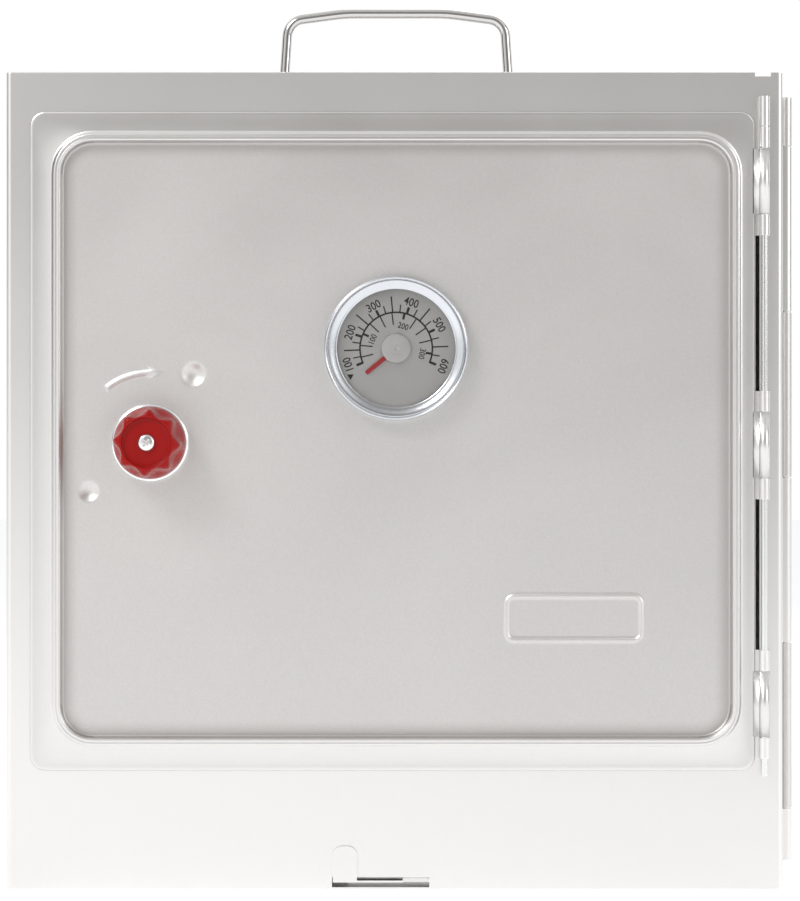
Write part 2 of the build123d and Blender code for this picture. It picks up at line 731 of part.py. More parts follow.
wire_pitch = reach(rack_x) / (rack_wires_count + 1)
hook_positions = (rack_x[0] + 2.5 * wire_pitch, rack_x[1] - 2.5 * wire_pitch)
with BuildPart() as rack_hooks:
    for x in hook_positions:
        with BuildSketch(Plane.YZ.offset(x - hook_width / 2)) as hook:
            with Locations((rack_y, rack_z)):
                Circle(rack_rod + pin_fit + hook_sheet)
            with Locations(((rack_y + back_y[0]) / 2, rack_z)):
                Rectangle(back_y[0] - rack_y, 3.0)
            with Locations((rack_y, rack_z)):
                Circle(rack_rod + pin_fit, mode=Mode.SUBTRACT)
        extrude(hook.sketch, amount=hook_width)
rack_hooks.part.label = "rack_hooks"

root = rack_z + rack_length
clip_x = (middle(rack_x) - clip_width / 2, middle(rack_x) + clip_width / 2)
with BuildPart() as rack_clip:
    for side in (-1, 1):
        prong = root + side * (rack_rod + air + clip_sheet / 2)
        block(clip_x, (rack_y - 1.5, back_y[0]), (prong - clip_sheet / 2, prong + clip_sheet / 2))
    prong_reach = rack_rod + air + clip_sheet
    block(clip_x, (back_y[0] - clip_sheet, back_y[0]), (root - prong_reach, root + prong_reach))
rack_clip.part.label = "rack_clip"

# ---- rack -----------------------------------------------------------------------------
with BuildPart() as rack_frame:
    with BuildLine(Plane.XZ.offset(-rack_y)) as rack_path:
        FilletPolyline(
            (rack_x[1], rack_z),
            (rack_x[1], rack_z + rack_length),
            (rack_x[0], rack_z + rack_length),
            (rack_x[0], rack_z),
            radius=rack_corner,
            close=True,
        )
    loop = rack_path.wires()[0]
    with BuildSketch(Plane(loop @ 0, z_dir=loop % 0)):
        Circle(rack_rod)
    sweep(path=loop)
rack_frame.part.label = "rack_frame"

with BuildPart() as rack_wires:
    for n in range(1, rack_wires_count + 1):
        wire_z = (rack_z + rack_rod, rack_z + rack_length - rack_rod)
        upright_tube(rack_x[0] + n * wire_pitch, rack_y, wire_z, rack_wire)
rack_wires.part.label = "rack_wires"

# ---- roof -----------------------------------------------------------------------------
roof_z = (roof_axis_z + knuckle_radius - sheet, roof_axis_z + knuckle_radius)
with BuildPart() as roof_panel:
    block(panel_x, (roof_y + notch_back, panel_end), roof_z)
    for span in every_other(panel_spans(), 1):
        block(span, (roof_y, roof_y + notch_back + 1), roof_z)
        level_tube(span, roof_y, roof_axis_z, knuckle_radius, pin_radius + pin_fit)
roof_panel.part.label = "roof_panel"

with BuildPart() as roof_hinge_wire:
    level_tube(panel_x, roof_y, roof_axis_z, pin_radius)
roof_hinge_wire.part.label = "roof_hinge_wire"

# ---- floor ----------------------------------------------------------------------------
floor_z = (floor_axis_z - knuckle_radius, floor_axis_z - knuckle_radius + sheet)
inlet_centre = (middle(panel_x), (floor_y + panel_end) / 2)
with BuildPart() as floor_panel:
    block(panel_x, (floor_y + notch_back, panel_end), floor_z)
    for span in every_other(panel_spans(), 1):
        block(span, (floor_y, floor_y + notch_back + 1), floor_z)
        level_tube(span, floor_y, floor_axis_z, knuckle_radius, pin_radius + pin_fit)
    block(panel_x, (panel_end - sheet, panel_end), (0, floor_z[1]))
    with BuildSketch(Plane.XY.offset(floor_z[0])) as opening:
        with Locations(inlet_centre):
            RectangleRounded(inlet[0], inlet[1], 12)
    extrude(opening.sketch, amount=sheet, mode=Mode.SUBTRACT)
floor_panel.part.label = "floor_panel"

with BuildPart() as floor_hinge_wire:
    level_tube(panel_x, floor_y, floor_axis_z, pin_radius)
floor_hinge_wire.part.label = "floor_hinge_wire"

baffle_z = floor_z[1] + baffle_lift
with BuildPart() as heat_baffle:
    with BuildSketch(Plane.XY.offset(baffle_z)) as plate:
        with Locations(inlet_centre):
            RectangleRounded(baffle[0], baffle[1], 8)
    extrude(plate.sketch, amount=sheet)
heat_baffle.part.label = "heat_baffle"

with BuildPart() as baffle_spacers:
    with BuildSketch(Plane.XY.offset(floor_z[1])) as posts:
        with Locations(inlet_centre):
            with GridLocations(baffle[0] - 24, baffle[1] - 24, 2, 2):
                Circle(spacer_radius)
    extrude(posts.sketch, amount=baffle_lift)
baffle_spacers.part.label = "baffle_spacers"

# ---- files ----------------------------------------------------------------------------
pieces = {
    builder.part.label: builder.part
    for builder in (
        front_frame, door_hinge_wire, left_corner_wire, right_corner_wire,
        handle, handle_brackets, handle_rivets, floor_lock, lock_guides,
        door_panel, thermometer_bezel, thermometer_lens, thermometer_dial, thermometer_case,
        thermometer_clip, bimetal_coil, pointer_hub, pointer,
        knob_ring, knob, latch_shaft, knob_screw, latch_spring, latch_arm, latch_nut,
        back_panel, rack_hooks, rack_clip, rack_frame, rack_wires,
        roof_panel, roof_hinge_wire, floor_panel, floor_hinge_wire, heat_baffle, baffle_spacers,
    )
}
for name, piece in walls.items():
    piece.label = name
    pieces[name] = piece

os.makedirs("parts", exist_ok=True)
for name, piece in pieces.items():
    export_step(piece, f"parts/{name}.step")
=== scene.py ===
# %% [markdown]
# # A folding camp oven
# The oven's body comes from its engineering model, which fixes every size and every joint. This lesson
# dresses it: it sets the stage, mixes the finishes, and models the pieces that a viewer looks at longest,
# which are the pressed door, the thermometer and the red knob. Each step says first what the real thing is.

# %% Load the engineering model
import json
from math import cos, hypot, pi, radians, sin, sqrt

import bmesh
import bpy
from mathutils import Matrix, Vector


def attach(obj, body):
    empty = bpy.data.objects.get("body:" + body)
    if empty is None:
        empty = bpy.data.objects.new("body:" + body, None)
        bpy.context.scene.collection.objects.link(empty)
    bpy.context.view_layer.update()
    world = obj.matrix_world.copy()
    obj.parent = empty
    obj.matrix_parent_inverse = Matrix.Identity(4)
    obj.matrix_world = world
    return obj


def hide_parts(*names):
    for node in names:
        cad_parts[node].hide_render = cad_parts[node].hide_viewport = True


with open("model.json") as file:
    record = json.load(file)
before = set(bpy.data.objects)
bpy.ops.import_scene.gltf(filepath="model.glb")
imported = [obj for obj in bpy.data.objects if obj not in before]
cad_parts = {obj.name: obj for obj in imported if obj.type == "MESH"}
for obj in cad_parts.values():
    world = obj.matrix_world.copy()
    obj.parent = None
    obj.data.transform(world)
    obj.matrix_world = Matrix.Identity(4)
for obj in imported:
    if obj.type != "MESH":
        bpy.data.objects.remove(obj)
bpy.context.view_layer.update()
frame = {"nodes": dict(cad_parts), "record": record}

nodes = frame["nodes"]
MM = 0.001

# %% [markdown]
# ## The camera
# The oven is seen straight on, from a good arm's length beyond normal reach, so its sides hardly show. A long
# lens at 1.5 m does that: a short lens close by would swell the door and show the hinges from the side.

# %% Camera
camera_data = bpy.data.cameras.new("camera")
camera_data.lens = 152.73
camera_data.sensor_width = 36.0
camera_data.clip_end = 50.0
camera = bpy.data.objects.new("camera", camera_data)
camera.location = (0.0022, -1.50925, 0.1721)
camera.rotation_euler = (radians(90), 0, 0)
bpy.context.scene.collection.objects.link(camera)
bpy.context.scene.camera = camera
print("camera at", tuple(round(v, 3) for v in camera.location))

# %% [markdown]
# ## The stage
# Bright sheet metal shows whatever stands around it, so the room is part of the finish. The floor and the far
# room are white. A large grey board behind the camera gives the upper frame its tone, and a soft lamp high
# on the left lets the knob throw its shade down to the right.

# %% Small helpers for shader nodes


def add_node(tree, kind, **settings):
    """A shader node with its settings and, as a dictionary, the values of its input sockets."""
    values = settings.pop("inputs", {})
    node = tree.nodes.new(kind)
    for name, value in settings.items():
        setattr(node, name, value)
    for name, value in values.items():
        node.inputs[name].default_value = value
    return node


def wire(tree, source, target):
    """Joins two sockets, each given as a pair of node and socket name or number."""
    tree.links.new(source[0].outputs[source[1]], target[0].inputs[target[1]])


# %% The room
world = bpy.data.worlds.new("studio")
bpy.context.scene.world = world
world.use_nodes = True
room = world.node_tree
room.nodes.clear()
ray = add_node(room, "ShaderNodeLightPath")
seen = add_node(room, "ShaderNodeMath", operation="MAXIMUM")
seen_too = add_node(room, "ShaderNodeMath", operation="MAXIMUM")
wire(room, (ray, "Is Camera Ray"), (seen, 0))
wire(room, (ray, "Is Glossy Ray"), (seen, 1))
wire(room, (seen, 0), (seen_too, 0))
wire(room, (ray, "Is Transmission Ray"), (seen_too, 1))
fill = add_node(room, "ShaderNodeBackground", inputs={"Color": (0.80, 0.81, 0.83, 1), "Strength": 0.62})
white = add_node(room, "ShaderNodeBackground", inputs={"Color": (1, 1, 1, 1), "Strength": 1.0})
choose = add_node(room, "ShaderNodeMixShader")
sky = add_node(room, "ShaderNodeOutputWorld")
wire(room, (seen_too, 0), (choose, 0))
wire(room, (fill, 0), (choose, 1))
wire(room, (white, 0), (choose, 2))
wire(room, (choose, 0), (sky, 0))
print("room", len(room.nodes), "nodes")

# %% Floor


def flat_board(name, width, height, place):
    """A stage board of one face, for the floor and for the cards that the metal mirrors."""
    bm = bmesh.new()
    bmesh.ops.create_grid(bm, x_segments=1, y_segments=1, size=0.5)
    bmesh.ops.transform(bm, matrix=place @ Matrix.Diagonal((width, height, 1, 1)), verts=bm.verts)
    mesh = bpy.data.meshes.new(name)
    bm.to_mesh(mesh)
    bm.free()
    board = bpy.data.objects.new(name, mesh)
    bpy.context.scene.collection.objects.link(board)
    return board


def board_material(name, colour, glow):
    """A matt board that also glows a little, so that a white one stays white in the picture."""
    material = bpy.data.materials.new(name)
    material.use_nodes = True
    surface = material.node_tree.nodes["Principled BSDF"]
    surface.inputs["Base Color"].default_value = (*colour, 1)
    surface.inputs["Roughness"].default_value = 0.9
    surface.inputs["Specular IOR Level"].default_value = 0.1
    surface.inputs["Emission Color"].default_value = (1, 1, 1, 1)
    surface.inputs["Emission Strength"].default_value = glow
    return material


floor = flat_board("floor", 16, 16, Matrix.Translation((0, 0, -0.0003)))
floor.data.materials.append(board_material("floor_white", (0.86, 0.86, 0.86), 0.5))
print("floor", [round(v, 1) for v in floor.dimensions])

# %% Cards that only the metal sees
upright = Matrix.Rotation(radians(90), 4, "X")
sideways = Matrix.Rotation(radians(90), 4, "Z") @ upright


def mirror_card(name, tone, width, height, spot, turn):
    """A card that shows only in reflections, for the greys that bright sheet metal needs."""
    glow = bpy.data.materials.new(name)
    glow.use_nodes = True
    glow.node_tree.nodes.clear()
    shine = add_node(glow.node_tree, "ShaderNodeEmission", inputs={"Color": (tone, 0.965 * tone, 0.93 * tone, 1)})
    end = add_node(glow.node_tree, "ShaderNodeOutputMaterial")
    wire(glow.node_tree, (shine, 0), (end, 0))
    card = flat_board(name, width, height, Matrix.Translation(spot) @ turn)
    card.data.materials.append(glow)
    card.visible_camera = card.visible_shadow = card.visible_diffuse = False
    print(name, spot)


mirror_card("card_behind_camera", 0.36, 2.0, 2.4, (0.25, -2.3, 1.42), upright)
mirror_card("card_low_right", 0.20, 0.42, 0.66, (0.52, -2.25, 0.33), upright)
mirror_card("card_overhead", 0.30, 2.4, 0.9, (0.2, -1.0, 2.6), upright)
mirror_card("card_left", 0.05, 0.9, 1.6, (-1.9, -0.2, 1.0), sideways)
mirror_card("card_right", 0.05, 0.9, 1.6, (1.9, -0.2, 1.0), sideways)

# %% Lamps


def soft_lamp(name, power, size, spot, aim):
    """A square area lamp that points from one spot to another."""
    data = bpy.data.lights.new(name, "AREA")
    data.shape = "SQUARE"
    data.size = size
    data.energy = power
    lamp = bpy.data.objects.new(name, data)
    lamp.location = spot
    lamp.rotation_euler = (Vector(aim) - Vector(spot)).to_track_quat("-Z", "Y").to_euler()
    bpy.context.scene.collection.objects.link(lamp)
    return lamp


middle_of_oven = (0, 0, 0.16)
soft_lamp("key", 22, 0.7, (-1.1, -1.2, 1.45), middle_of_oven)
soft_lamp("side", 7, 0.9, (1.6, -0.9, 0.8), middle_of_oven)
soft_lamp("rear", 9, 1.2, (0.5, 1.7, 1.4), middle_of_oven)
bpy.context.scene.view_settings.view_transform = "Standard"
print("lamps", [light.name for light in bpy.data.lights])

# %% [markdown]
# ## Finishes
# Every metal here shares three things: a fine grain from rolling or brushing, large soft clouds from handling,
# and edges that rub bright. Each is a node group with its own inputs, so one effect serves sheet, wire and
# casting at different scales. The groups give only masks; each material keeps its own shader.

# %% Group for grain


def group_start(name, inputs, outputs):
    """An empty shader group with float or vector sockets; gives the tree and its two end nodes."""
    tree = bpy.data.node_groups.new(name, "ShaderNodeTree")
    for label, kind, value in inputs:
        socket = tree.interface.new_socket(name=label, in_out="INPUT", socket_type=kind)
        socket.default_value = value
    for label, kind in outputs:
        tree.interface.new_socket(name=label, in_out="OUTPUT", socket_type=kind)
    return tree, tree.nodes.new("NodeGroupInput"), tree.nodes.new("NodeGroupOutput")


FLOAT, VECTOR = "NodeSocketFloat", "NodeSocketVector"
grain, ends_in, ends_out = group_start(
    "rolled_grain",
    [("Stretch", VECTOR, (1, 1, 1)), ("Scale", FLOAT, 900.0), ("Detail", FLOAT, 4.0)],
    [("Mask", FLOAT)],
)
where = grain.nodes.new("ShaderNodeTexCoord")
stretched = add_node(grain, "ShaderNodeVectorMath", operation="MULTIPLY")
specks = add_node(grain, "ShaderNodeTexNoise", inputs={"Roughness": 0.62})
wire(grain, (where, "Object"), (stretched, 0))
wire(grain, (ends_in, "Stretch"), (stretched, 1))
wire(grain, (stretched, 0), (specks, "Vector"))
wire(grain, (ends_in, "Scale"), (specks, "Scale"))
wire(grain, (ends_in, "Detail"), (specks, "Detail"))
wire(grain, (specks, 0), (ends_out, "Mask"))
print("group", grain.name)

# %% Group for handling marks
clouds, ends_in, ends_out = group_start(
    "handling_clouds", [("Scale", FLOAT, 9.0), ("Contrast", FLOAT, 2.0)], [("Mask", FLOAT)]
)
where = clouds.nodes.new("ShaderNodeTexCoord")
soft = add_node(clouds, "ShaderNodeTexNoise", inputs={"Detail": 5.0, "Roughness": 0.55, "Distortion": 0.6})
centred = add_node(clouds, "ShaderNodeMath", operation="SUBTRACT", inputs={1: 0.5})
scaled = add_node(clouds, "ShaderNodeMath", operation="MULTIPLY_ADD", use_clamp=True, inputs={2: 0.5})
wire(clouds, (where, "Object"), (soft, "Vector"))
wire(clouds, (ends_in, "Scale"), (soft, "Scale"))
wire(clouds, (soft, 0), (centred, 0))
wire(clouds, (centred, 0), (scaled, 0))
wire(clouds, (ends_in, "Contrast"), (scaled, 1))
wire(clouds, (scaled, 0), (ends_out, "Mask"))
print("group", clouds.name)

# %% Group for rubbed edges
rubbed, ends_in, ends_out = group_start(
    "rubbed_edges", [("Width", FLOAT, 0.0005), ("Patchiness", FLOAT, 260.0)], [("Mask", FLOAT)]
)
rounded = add_node(rubbed, "ShaderNodeBevel", samples=4)
facing = rubbed.nodes.new("ShaderNodeNewGeometry")
alike = add_node(rubbed, "ShaderNodeVectorMath", operation="DOT_PRODUCT")
edge = add_node(rubbed, "ShaderNodeMapRange", inputs={"From Min": 0.985, "From Max": 0.80})
where = rubbed.nodes.new("ShaderNodeTexCoord")
patchy = add_node(rubbed, "ShaderNodeTexNoise", inputs={"Detail": 3.0})
uneven = add_node(rubbed, "ShaderNodeMapRange", inputs={"From Min": 0.35, "From Max": 0.6, "To Min": 0.35})
both = add_node(rubbed, "ShaderNodeMath", operation="MULTIPLY")
wire(rubbed, (ends_in, "Width"), (rounded, "Radius"))
wire(rubbed, (rounded, 0), (alike, 0))
wire(rubbed, (facing, "Normal"), (alike, 1))
wire(rubbed, (alike, "Value"), (edge, "Value"))
wire(rubbed, (where, "Object"), (patchy, "Vector"))
wire(rubbed, (ends_in, "Patchiness"), (patchy, "Scale"))
wire(rubbed, (patchy, 0), (uneven, "Value"))
wire(rubbed, (edge, 0), (both, 0))
wire(rubbed, (uneven, 0), (both, 1))
wire(rubbed, (both, 0), (ends_out, "Mask"))
print("group", rubbed.name)

# %% One recipe for every metal


def place_group(tree, group, **values):
    node = tree.nodes.new("ShaderNodeGroup")
    node.node_tree = group
    for name, value in values.items():
        node.inputs[name].default_value = value
    return node


def blend_colours(tree, mask, first, second):
    """A colour between two, by a mask. Each is a colour or an earlier node."""
    mix = add_node(tree, "ShaderNodeMix", data_type="RGBA")
    tree.links.new(mask, mix.inputs["Factor"])
    for slot_number, colour in ((6, first), (7, second)):
        if isinstance(colour, tuple):
            mix.inputs[slot_number].default_value = (*colour, 1)
        else:
            tree.links.new(colour.outputs[2], mix.inputs[slot_number])
    return mix


def metal(
    name,
    colour,
    shade,
    rough,
    stretch=(1, 1, 1),
    scale=900.0,
    bump=0.05,
    metallic=1.0,
    edge_width=0.0005,
    edge_colour=(0.93, 0.93, 0.92),
):
    """A worn metal. rough is the lowest and highest roughness, stretch squeezes the grain along an axis."""
    material = bpy.data.materials.new(name)
    material.use_nodes = True
    tree = material.node_tree
    surface = tree.nodes["Principled BSDF"]
    surface.inputs["Metallic"].default_value = metallic
    fine = place_group(tree, grain, Stretch=stretch, Scale=scale)
    cloud = place_group(tree, clouds)
    rub = place_group(tree, rubbed, Width=edge_width)
    body_tone = blend_colours(tree, fine.outputs[0], colour, shade)
    handled = blend_colours(tree, cloud.outputs[0], tuple(0.95 * c for c in colour), colour)
    even = add_node(tree, "ShaderNodeMix", data_type="RGBA", inputs={0: 0.45})
    tree.links.new(body_tone.outputs[2], even.inputs[6])
    tree.links.new(handled.outputs[2], even.inputs[7])
    final = blend_colours(tree, rub.outputs[0], even, edge_colour)
    tree.links.new(final.outputs[2], surface.inputs["Base Color"])
    mixed = add_node(tree, "ShaderNodeMath", operation="MULTIPLY_ADD", inputs={1: 0.6})
    tree.links.new(fine.outputs[0], mixed.inputs[0])
    tree.links.new(cloud.outputs[0], mixed.inputs[2])
    gloss = add_node(tree, "ShaderNodeMapRange", inputs={"From Max": 1.6, "To Min": rough[0], "To Max": rough[1]})
    wire(tree, (mixed, 0), (gloss, "Value"))
    wire(tree, (gloss, 0), (surface, "Roughness"))
    relief = add_node(tree, "ShaderNodeBump", inputs={"Strength": bump, "Distance": 0.0003})
    wire(tree, (fine, 0), (relief, "Height"))
    wire(tree, (relief, 0), (surface, "Normal"))
    return material


# %% The oven's metals
finishes = {
    "frame_sheet": metal(
        "frame_sheet", (0.785, 0.775, 0.76), (0.76, 0.75, 0.735), (0.27, 0.31), (1, 1, 0.06), 700, 0.004, 0.92
    ),
    "door_sheet": metal(
        "door_sheet", (0.67, 0.655, 0.64), (0.47, 0.455, 0.44), (0.34, 0.48), (1, 1, 1), 1500, 0.14, 0.9
    ),
    "door_border": metal(
        "door_border", (0.72, 0.71, 0.695), (0.64, 0.63, 0.615), (0.26, 0.36), (1, 1, 1), 1500, 0.08, 0.95
    ),
    "aluminised_sheet": metal(
        "aluminised_sheet", (0.70, 0.69, 0.675), (0.60, 0.59, 0.575), (0.30, 0.44), (1, 1, 0.3), 1100, 0.08, 0.95
    ),
    "plated_steel": metal("plated_steel", (0.66, 0.66, 0.65), (0.54, 0.54, 0.53), (0.26, 0.40), scale=1600),
    "zinc_hardware": metal("zinc_hardware", (0.80, 0.80, 0.80), (0.68, 0.68, 0.67), (0.16, 0.28), scale=1800),
    "chrome_wire": metal(
        "chrome_wire", (0.60, 0.59, 0.58), (0.52, 0.51, 0.50), (0.07, 0.15), scale=1200, bump=0.02
    ),
    "coil_brass": metal("coil_brass", (0.74, 0.60, 0.33), (0.62, 0.48, 0.24), (0.28, 0.42), scale=1500),
}
print("metals", sorted(finishes))

# %% [markdown]
# The bezel and the knob's base ring are turned on a lathe, which leaves fine circles round their centres. The
# pattern here is noise that depends on the distance from the centre alone, so it can't wander off the circle.

# %% Turned aluminium


def turned(name, colour, shade, centre, rough):
    """A lathe-turned metal, with its circles round a centre given in x and z."""
    material = bpy.data.materials.new(name)
    material.use_nodes = True
    tree = material.node_tree
    surface = tree.nodes["Principled BSDF"]
    surface.inputs["Metallic"].default_value = 1.0
    where = tree.nodes.new("ShaderNodeTexCoord")
    move = add_node(tree, "ShaderNodeMapping", inputs={"Location": (-centre[0] * MM, 0, -centre[1] * MM)})
    flat = add_node(tree, "ShaderNodeVectorMath", operation="MULTIPLY", inputs={1: (1, 0, 1)})
    away = add_node(tree, "ShaderNodeVectorMath", operation="LENGTH")
    circles = add_node(tree, "ShaderNodeTexNoise", noise_dimensions="1D", inputs={"Scale": 5200.0, "Detail": 3.0})
    wire(tree, (where, "Object"), (move, "Vector"))
    wire(tree, (move, 0), (flat, 0))
    wire(tree, (flat, 0), (away, 0))
    wire(tree, (away, "Value"), (circles, "W"))
    cloud = place_group(tree, clouds, Scale=60.0)
    tone = blend_colours(tree, circles.outputs[0], colour, shade)
    stained = blend_colours(tree, cloud.outputs[0], tuple(0.9 * c for c in colour), tone)
    tree.links.new(stained.outputs[2], surface.inputs["Base Color"])
    gloss = add_node(tree, "ShaderNodeMapRange", inputs={"To Min": rough[0], "To Max": rough[1]})
    wire(tree, (circles, 0), (gloss, "Value"))
    wire(tree, (gloss, 0), (surface, "Roughness"))
    relief = add_node(tree, "ShaderNodeBump", inputs={"Strength": 0.12, "Distance": 0.0002})
    wire(tree, (circles, 0), (relief, "Height"))
    wire(tree, (relief, 0), (surface, "Normal"))
    return material


thermometer_centre = (0.7, 212.1)
knob_centre = (-95.8, 175.1)
finishes["turned_aluminium"] = turned(
    "turned_aluminium", (0.68, 0.70, 0.73), (0.56, 0.58, 0.61), thermometer_centre, (0.16, 0.30)
)
finishes["turned_ring"] = turned("turned_ring", (0.90, 0.90, 0.90), (0.82, 0.82, 0.83), knob_centre, (0.12, 0.24))
print("turned", finishes["turned_aluminium"].name)

# %% [markdown]
# The rest are small: satin paint on the dial, matt red on the pointer, dark print, glossy moulded red for the
# knob, and clear glass. Plastic and paint get their life from a faint change of tone and of gloss.

# %% Paint, plastic and glass


def painted(name, colour, shade, rough, scale=300.0, bump=0.03, metallic=0.0, sheen_level=0.5):
    """A paint or plastic with a faint change of tone and gloss."""
    material = bpy.data.materials.new(name)
    material.use_nodes = True
    tree = material.node_tree
    surface = tree.nodes["Principled BSDF"]
    surface.inputs["Metallic"].default_value = metallic
    surface.inputs["Specular IOR Level"].default_value = sheen_level
    fine = place_group(tree, grain, Scale=scale)
    cloud = place_group(tree, clouds, Scale=40.0)
    tone = blend_colours(tree, cloud.outputs[0], shade, colour)
    tree.links.new(tone.outputs[2], surface.inputs["Base Color"])
    gloss = add_node(tree, "ShaderNodeMapRange", inputs={"To Min": rough[0], "To Max": rough[1]})
    wire(tree, (fine, 0), (gloss, "Value"))
    wire(tree, (gloss, 0), (surface, "Roughness"))
    relief = add_node(tree, "ShaderNodeBump", inputs={"Strength": bump, "Distance": 0.0002})
    wire(tree, (fine, 0), (relief, "Height"))
    wire(tree, (relief, 0), (surface, "Normal"))
    return material


finishes["hub_metal"] = painted(
    "hub_metal", (0.90, 0.89, 0.87), (0.82, 0.81, 0.79), (0.34, 0.46), 2600, 0.05, metallic=0.25
)
finishes["dial_paint"] = painted(
    "dial_paint", (0.80, 0.79, 0.77), (0.74, 0.73, 0.71), (0.34, 0.46), 2600, 0.05, metallic=0.5
)
finishes["pointer_red"] = painted("pointer_red", (0.66, 0.025, 0.03), (0.55, 0.015, 0.02), (0.38, 0.5))
finishes["dark_print"] = painted("dark_print", (0.022, 0.022, 0.024), (0.035, 0.035, 0.035), (0.4, 0.55))
finishes["knob_red"] = painted(
    "knob_red", (0.32, 0.007, 0.006), (0.25, 0.005, 0.004), (0.20, 0.30), 420, 0.05, sheen_level=0.16
)
glass = bpy.data.materials.new("lens_glass")
glass.use_nodes = True
clear = glass.node_tree.nodes["Principled BSDF"]
clear.inputs["Transmission Weight"].default_value = 1.0
clear.inputs["IOR"].default_value = 1.45
smudge = place_group(glass.node_tree, clouds, Scale=90.0)
smudged = add_node(glass.node_tree, "ShaderNodeMapRange", inputs={"To Min": 0.0, "To Max": 0.05})
wire(glass.node_tree, (smudge, 0), (smudged, "Value"))
wire(glass.node_tree, (smudged, 0), (clear, "Roughness"))
finishes["lens_glass"] = glass
print("finishes", len(finishes))

# %% [markdown]
# The door's tray gets painted shade along the foot of its bead: its colour is made darker there, in place of the
# shade that the bead's step casts on the sunken tray. The distance from a rounded rectangle gives that band: how
# far a point lies outside the rectangle shrunk by its corner radius.

# %% Painted shade along the bead


def paint_shade_along_edge(material, low, high, corner, band, tone, strength):
    """Paints shade into a finish's colour: darker towards the inside of a rounded rectangle's outline, in x and z.
    """
    tree = material.node_tree
    surface = tree.nodes["Principled BSDF"]
    middle = [(first + last) / 2 * MM for first, last in zip(low, high)]
    inner = [((last - first) / 2 - corner) * MM for first, last in zip(low, high)]
    where = tree.nodes.new("ShaderNodeTexCoord")
    move = add_node(tree, "ShaderNodeMapping", inputs={"Location": (-middle[0], 0, -middle[1])})
    flat = add_node(tree, "ShaderNodeVectorMath", operation="MULTIPLY", inputs={1: (1, 0, 1)})
    mirrored = add_node(tree, "ShaderNodeVectorMath", operation="ABSOLUTE")
    beyond = add_node(tree, "ShaderNodeVectorMath", operation="SUBTRACT", inputs={1: (inner[0], 0, inner[1])})
    clipped = add_node(tree, "ShaderNodeVectorMath", operation="MAXIMUM", inputs={1: (0, 0, 0)})
    away = add_node(tree, "ShaderNodeVectorMath", operation="LENGTH")
    painted_shade_mask = add_node(
        tree,
        "ShaderNodeMapRange",
        interpolation_type="SMOOTHSTEP",
        inputs={"From Min": (corner - band) * MM, "From Max": corner * MM, "To Max": strength},
    )
    wire(tree, (where, "Object"), (move, "Vector"))
    for before, after in zip((move, flat, mirrored, beyond, clipped), (flat, mirrored, beyond, clipped, away)):
        wire(tree, (before, 0), (after, 0))
    wire(tree, (away, "Value"), (painted_shade_mask, "Value"))
    plain = surface.inputs["Base Color"].links[0].from_socket
    # Painted shade: a darker tone is mixed into the base colour near the outline.
    painted_shade = add_node(tree, "ShaderNodeMix", data_type="RGBA", inputs={7: (*tone, 1)})
    wire(tree, (painted_shade_mask, 0), (painted_shade, 0))
    tree.links.new(plain, painted_shade.inputs[6])
    tree.links.new(painted_shade.outputs[2], surface.inputs["Base Color"])


print("ready to shade", finishes["door_sheet"].name)

# %% Finishes for the engineering parts
special = {"front_frame": "frame_sheet", "knob_ring": "turned_ring", "floor_lock": "frame_sheet"}
for part in frame["record"]["subparts"]:
    holder = nodes[part["node"]].data.materials
    chosen = finishes[special.get(part["node"], part["material_slot"])]
    if not holder:
        holder.append(chosen)
    for number in range(len(holder)):
        holder[number] = chosen

# %% [markdown]
# ## Drawing on the front
# Every piece on the door is easiest to draw flat on paper: millimetres, x to the right, y up, z towards the
# viewer. One matrix then stands the drawing up in its place. A second helper closes each piece in the same way:
# it welds doubles, turns the faces outward, shades it, dresses it, and says which moving body carries it.

# %% Standing a drawing up


def to_face(centre=(0, 0), depth=0.0):
    """The place on the oven's front whose x, z are the centre and whose y is the depth, all in millimetres."""
    stand = Matrix.Translation((centre[0] * MM, depth * MM, centre[1] * MM))
    return stand @ Matrix.Rotation(radians(90), 4, "X") @ Matrix.Scale(MM, 4)


def keep_piece(name, bm, place, finish, body, stands_for=(), crease=35, open_sheet=False):
    """Welds, orients, shades and dresses a drawing, and hangs it on its moving body."""
    bmesh.ops.remove_doubles(bm, verts=bm.verts, dist=1e-4)
    bmesh.ops.recalc_face_normals(bm, faces=bm.faces)
    if open_sheet and sum(face.normal.z * face.calc_area() for face in bm.faces) < 0:
        bmesh.ops.reverse_faces(bm, faces=bm.faces)
    bmesh.ops.transform(bm, matrix=place, verts=bm.verts)
    mesh = bpy.data.meshes.new(name)
    bm.to_mesh(mesh)
    bm.free()
    mesh.polygons.foreach_set("use_smooth", [True] * len(mesh.polygons))
    mesh.set_sharp_from_angle(angle=radians(crease))
    mesh.materials.append(finishes[finish])
    piece = bpy.data.objects.new(name, mesh)
    bpy.context.scene.collection.objects.link(piece)
    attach(piece, body)
    if stands_for:
        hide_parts(*stands_for)
    print(name, len(mesh.polygons), "faces on", body)
    return piece


def sheet_gauge(piece, thickness):
    """Gives an open surface its metal thickness, behind the surface that was drawn."""
    wall = piece.modifiers.new("gauge", "SOLIDIFY")
    wall.thickness = thickness * MM
    wall.offset = -1
    wall.use_even_offset = True
    return piece


# %% Lathe work


def lathe(bm, profile, steps=96, whole=True):
    """Spins a profile of (radius, height) points round the z axis."""
    verts = [bm.verts.new((radius, 0, height)) for radius, height in profile]
    edges = [bm.edges.new(pair) for pair in zip(verts, verts[1:])]
    bmesh.ops.spin(
        bm, geom=verts + edges, cent=(0, 0, 0), axis=(0, 0, 1), angle=2 * pi, steps=steps, use_merge=whole
    )
    bmesh.ops.remove_doubles(bm, verts=bm.verts, dist=1e-4)


print("helpers ready")

